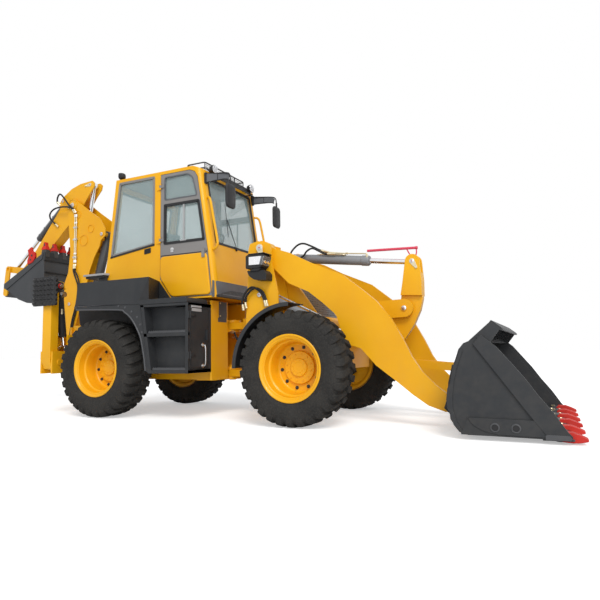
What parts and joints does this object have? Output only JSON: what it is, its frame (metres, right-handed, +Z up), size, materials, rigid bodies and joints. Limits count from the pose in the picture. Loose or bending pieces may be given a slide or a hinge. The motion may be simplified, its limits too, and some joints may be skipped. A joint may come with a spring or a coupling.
{
  "type": "articulated backhoe loader",
  "caption": "Articulated backhoe loader: frames hinged between the axles, front loader bucket on curved arms with bell crank, cab, and a rear boom, dipper, bucket and stabilizers.",
  "frame": {"origin": "ground level under the middle of the overall length and width", "axes": "+X forward over the loader bucket, +Y to the machine's left, +Z up"},
  "size_m": [8.128, 2.226, 3.3378],
  "materials": {
    "yellow_paint": "semi-gloss machine yellow",
    "charcoal_paint": "satin charcoal",
    "grey_paint": "satin mid grey",
    "dark_grey_paint": "satin dark grey",
    "red_paint": "gloss signal red",
    "chrome": "polished",
    "dark_iron": "dark painted casting",
    "black_plastic": "moulded, matt",
    "grey_plastic": "satin warm grey",
    "black_fabric": "woven, worn matt",
    "cab_glass": "tinted green",
    "tyre_rubber": "matt moulded rubber"
  },
  "bodies": {
    "rear_frame": {"rear_frame": "yellow_paint", "rear_axle": "dark_iron", "cab": "yellow_paint", "cab_glass": "cab_glass", "seat": "black_fabric", "steering_console": "black_plastic", "roof_lamps": "black_plastic", "mirrors": "black_plastic", "step_boxes": "charcoal_paint", "rear_fenders": "charcoal_paint", "digger_frame": "yellow_paint"},
    "front_frame": {"front_frame": "yellow_paint", "hood": "yellow_paint", "grille": "black_plastic", "engine": "dark_iron", "front_axle": "dark_iron", "front_fenders": "black_plastic", "front_lamps": "black_plastic"},
    "wheel_front_right": {"front_right_tyre": "tyre_rubber", "front_right_rim": "yellow_paint"},
    "wheel_front_left": {"front_left_tyre": "tyre_rubber", "front_left_rim": "yellow_paint"},
    "wheel_rear_right": {"rear_right_tyre": "tyre_rubber", "rear_right_rim": "yellow_paint"},
    "wheel_rear_left": {"rear_left_tyre": "tyre_rubber", "rear_left_rim": "yellow_paint"},
    "door_right": {"door_right": "grey_plastic", "door_right_glass": "cab_glass"},
    "door_left": {"door_left": "grey_plastic", "door_left_glass": "cab_glass"},
    "box_door": {"box_door": "charcoal_paint"},
    "loader_arms": {"loader_arms": "yellow_paint"},
    "bell_crank": {"bell_crank": "yellow_paint"},
    "tie_link": {"tie_link": "yellow_paint"},
    "loader_bucket": {"loader_bucket": "charcoal_paint"},
    "lift_barrels": {"lift_cylinder_barrels": "grey_paint"},
    "lift_rods": {"lift_cylinder_rods": "chrome"},
    "tilt_barrel": {"tilt_cylinder_barrel": "grey_paint"},
    "tilt_rod": {"tilt_cylinder_rod": "chrome", "level_indicator": "red_paint"},
    "swing_post": {"swing_post": "yellow_paint"},
    "boom": {"boom": "yellow_paint"},
    "boom_barrel": {"boom_cylinder_barrel": "dark_grey_paint"},
    "boom_rod": {"boom_cylinder_rod": "chrome"},
    "dipper_barrel": {"dipper_cylinder_barrel": "dark_grey_paint"},
    "dipper_rod": {"dipper_cylinder_rod": "chrome"},
    "dipper": {"dipper": "yellow_paint", "bucket_cylinder_barrel": "dark_grey_paint"},
    "bucket_rod": {"bucket_cylinder_rod": "chrome"},
    "rocker": {"rocker": "yellow_paint"},
    "bucket_link": {"bucket_link": "yellow_paint"},
    "digging_bucket": {"digging_bucket": "charcoal_paint"},
    "stabilizer_leg_right": {"stabilizer_leg_right": "yellow_paint"},
    "stabilizer_pad_right": {"stabilizer_pad_right": "charcoal_paint"},
    "stabilizer_barrel_right": {"stabilizer_barrel_right": "dark_grey_paint"},
    "stabilizer_rod_right": {"stabilizer_rod_right": "chrome"},
    "stabilizer_leg_left": {"stabilizer_leg_left": "yellow_paint"},
    "stabilizer_pad_left": {"stabilizer_pad_left": "charcoal_paint"},
    "stabilizer_barrel_left": {"stabilizer_barrel_left": "dark_grey_paint"},
    "stabilizer_rod_left": {"stabilizer_rod_left": "chrome"}
  },
  "joints": [
    {"name": "steering", "type": "hinge", "parent": "rear_frame", "child": "front_frame", "pos_m": [0.193, 0, 0.7875], "axis": [0, 0, 1], "range_deg": [-35, 35]},
    {"name": "wheel_front_right", "type": "hinge", "parent": "front_frame", "child": "wheel_front_right", "pos_m": [1.493, -0.84, 0.5875], "axis": [0, 1, 0], "continuous": true},
    {"name": "wheel_front_left", "type": "hinge", "parent": "front_frame", "child": "wheel_front_left", "pos_m": [1.493, 0.84, 0.5875], "axis": [0, 1, 0], "continuous": true},
    {"name": "wheel_rear_right", "type": "hinge", "parent": "rear_frame", "child": "wheel_rear_right", "pos_m": [-1.107, -0.84, 0.5875], "axis": [0, 1, 0], "continuous": true},
    {"name": "wheel_rear_left", "type": "hinge", "parent": "rear_frame", "child": "wheel_rear_left", "pos_m": [-1.107, 0.84, 0.5875], "axis": [0, 1, 0], "continuous": true},
    {"name": "door_right", "type": "hinge", "parent": "rear_frame", "child": "door_right", "pos_m": [-0.461, -0.632, 2.2], "axis": [0, 0, -1], "range_deg": [0, 65]},
    {"name": "door_left", "type": "hinge", "parent": "rear_frame", "child": "door_left", "pos_m": [-0.461, 0.632, 2.2], "axis": [0, 0, 1], "range_deg": [0, 65]},
    {"name": "box_door", "type": "hinge", "parent": "rear_frame", "child": "box_door", "pos_m": [0.263, -0.972, 0.924], "axis": [0, 0, -1], "range_deg": [0, 90]},
    {"name": "loader_lift", "type": "hinge", "parent": "front_frame", "child": "loader_arms", "pos_m": [0.948, 0, 1.921], "axis": [0, -1, 0], "range_deg": [0, 76]},
    {"name": "bucket_tilt", "type": "hinge", "parent": "loader_arms", "child": "loader_bucket", "pos_m": [2.973, 0, 0.207], "axis": [0, -1, 0], "range_deg": [-118, 45]},
    {"name": "bell_crank", "type": "hinge", "parent": "loader_arms", "child": "bell_crank", "pos_m": [2.441, 0, 1.202], "axis": [0, -1, 0], "range_deg": [-9, 20]},
    {"name": "tie_link", "type": "hinge", "parent": "loader_bucket", "child": "tie_link", "pos_m": [2.953, 0, 0.566], "axis": [0, -1, 0], "range_deg": [-40, 103]},
    {"name": "lift_barrels", "type": "hinge", "parent": "front_frame", "child": "lift_barrels", "pos_m": [0.933, 0, 1.391], "axis": [0, -1, 0], "range_deg": [0, 75]},
    {"name": "lift_rods", "type": "slide", "parent": "lift_barrels", "child": "lift_rods", "axis": [0.898, 0, -0.44], "range_m": [0, 0.665]},
    {"name": "tilt_barrel", "type": "hinge", "parent": "front_frame", "child": "tilt_barrel", "pos_m": [0.993, 0, 1.888], "axis": [0, -1, 0], "range_deg": [0, 78]},
    {"name": "tilt_rod", "type": "slide", "parent": "tilt_barrel", "child": "tilt_rod", "axis": [0.9936, 0, -0.1132], "range_m": [-0.18, 0.07]},
    {"name": "swing", "type": "hinge", "parent": "rear_frame", "child": "swing_post", "pos_m": [-2.427, 0, 0.67], "axis": [0, 0, 1], "range_deg": [-90, 90]},
    {"name": "boom", "type": "hinge", "parent": "swing_post", "child": "boom", "pos_m": [-2.602, 0, 0.79], "axis": [0, -1, 0], "range_deg": [0, 135]},
    {"name": "boom_barrel", "type": "hinge", "parent": "boom", "child": "boom_barrel", "pos_m": [-1.947, 0, 2.49], "axis": [0, -1, 0], "range_deg": [-1, 5]},
    {"name": "boom_rod", "type": "slide", "parent": "boom_barrel", "child": "boom_rod", "axis": [-0.2782, 0, -0.9605], "range_m": [0, 0.65]},
    {"name": "dipper", "type": "hinge", "parent": "boom", "child": "dipper", "pos_m": [-2.547, 0, 2.995], "axis": [0, 1, 0], "range_deg": [0, 100]},
    {"name": "dipper_barrel", "type": "hinge", "parent": "boom", "child": "dipper_barrel", "pos_m": [-2.567, 0, 1.5], "axis": [0, -1, 0], "range_deg": [-8, 1]},
    {"name": "dipper_rod", "type": "slide", "parent": "dipper_barrel", "child": "dipper_rod", "axis": [0.1746, 0, 0.9846], "range_m": [-0.65, 0]},
    {"name": "digging_bucket", "type": "hinge", "parent": "dipper", "child": "digging_bucket", "pos_m": [-3.807, 0, 1.88], "axis": [0, 1, 0], "range_deg": [0, 150]},
    {"name": "rocker", "type": "hinge", "parent": "dipper", "child": "rocker", "pos_m": [-3.587, 0, 2.075], "axis": [0, 1, 0], "range_deg": [0, 95]},
    {"name": "bucket_link", "type": "hinge", "parent": "rocker", "child": "bucket_link", "pos_m": [-3.947, 0, 2.13], "axis": [0, 1, 0], "range_deg": [-66, 1]},
    {"name": "bucket_rod", "type": "slide", "parent": "dipper", "child": "bucket_rod", "axis": [-0.7616, 0, -0.648], "range_m": [-0.55, 0]},
    {"name": "stabilizer_right", "type": "hinge", "parent": "rear_frame", "child": "stabilizer_leg_right", "pos_m": [-1.947, -0.905, 0.66], "axis": [1, 0, 0], "range_deg": [0, 125]},
    {"name": "pad_right", "type": "hinge", "parent": "stabilizer_leg_right", "child": "stabilizer_pad_right", "pos_m": [-1.947, -0.925, 1.64], "axis": [1, 0, 0], "range_deg": [-36, 1]},
    {"name": "stabilizer_barrel_right", "type": "hinge", "parent": "stabilizer_leg_right", "child": "stabilizer_barrel_right", "pos_m": [-1.947, -0.835, 1.54], "axis": [1, 0, 0], "range_deg": [-5, 1]},
    {"name": "stabilizer_rod_right", "type": "slide", "parent": "stabilizer_barrel_right", "child": "stabilizer_rod_right", "axis": [0, 0.1205, -0.9927], "range_m": [0, 0.46]},
    {"name": "stabilizer_left", "type": "hinge", "parent": "rear_frame", "child": "stabilizer_leg_left", "pos_m": [-1.947, 0.905, 0.66], "axis": [-1, 0, 0], "range_deg": [0, 125]},
    {"name": "pad_left", "type": "hinge", "parent": "stabilizer_leg_left", "child": "stabilizer_pad_left", "pos_m": [-1.947, 0.925, 1.64], "axis": [-1, 0, 0], "range_deg": [-36, 1]},
    {"name": "stabilizer_barrel_left", "type": "hinge", "parent": "stabilizer_leg_left", "child": "stabilizer_barrel_left", "pos_m": [-1.947, 0.835, 1.54], "axis": [-1, 0, 0], "range_deg": [-5, 1]},
    {"name": "stabilizer_rod_left", "type": "slide", "parent": "stabilizer_barrel_left", "child": "stabilizer_rod_left", "axis": [0, -0.1205, -0.9927], "range_m": [0, 0.46]}
  ],
  "couplings": [
    {"joint": "bell_crank", "follows": "bucket_tilt", "ratio": -0.16},
    {"joint": "tie_link", "follows": "bucket_tilt", "ratio": -0.87},
    {"joint": "lift_barrels", "follows": "loader_lift", "ratio": 0.965},
    {"joint": "lift_rods", "follows": "loader_lift", "m_per_rad": 0.4967},
    {"joint": "tilt_barrel", "follows": "loader_lift", "ratio": 1.015},
    {"joint": "tilt_rod", "follows": "bucket_tilt", "m_per_rad": 0.0815},
    {"joint": "boom_barrel", "follows": "boom", "ratio": 0.02},
    {"joint": "boom_rod", "follows": "boom", "m_per_rad": 0.2667},
    {"joint": "dipper_barrel", "follows": "dipper", "ratio": -0.065},
    {"joint": "dipper_rod", "follows": "dipper", "m_per_rad": -0.3547},
    {"joint": "rocker", "follows": "digging_bucket", "ratio": 0.61},
    {"joint": "bucket_link", "follows": "digging_bucket", "ratio": -0.42},
    {"joint": "bucket_rod", "follows": "digging_bucket", "m_per_rad": -0.2013},
    {"joint": "pad_right", "follows": "stabilizer_right", "ratio": -0.28},
    {"joint": "stabilizer_barrel_right", "follows": "stabilizer_right", "ratio": -0.03},
    {"joint": "stabilizer_rod_right", "follows": "stabilizer_right", "m_per_rad": 0.203},
    {"joint": "pad_left", "follows": "stabilizer_left", "ratio": -0.28},
    {"joint": "stabilizer_barrel_left", "follows": "stabilizer_left", "ratio": -0.03},
    {"joint": "stabilizer_rod_left", "follows": "stabilizer_left", "m_per_rad": 0.203}
  ]
}
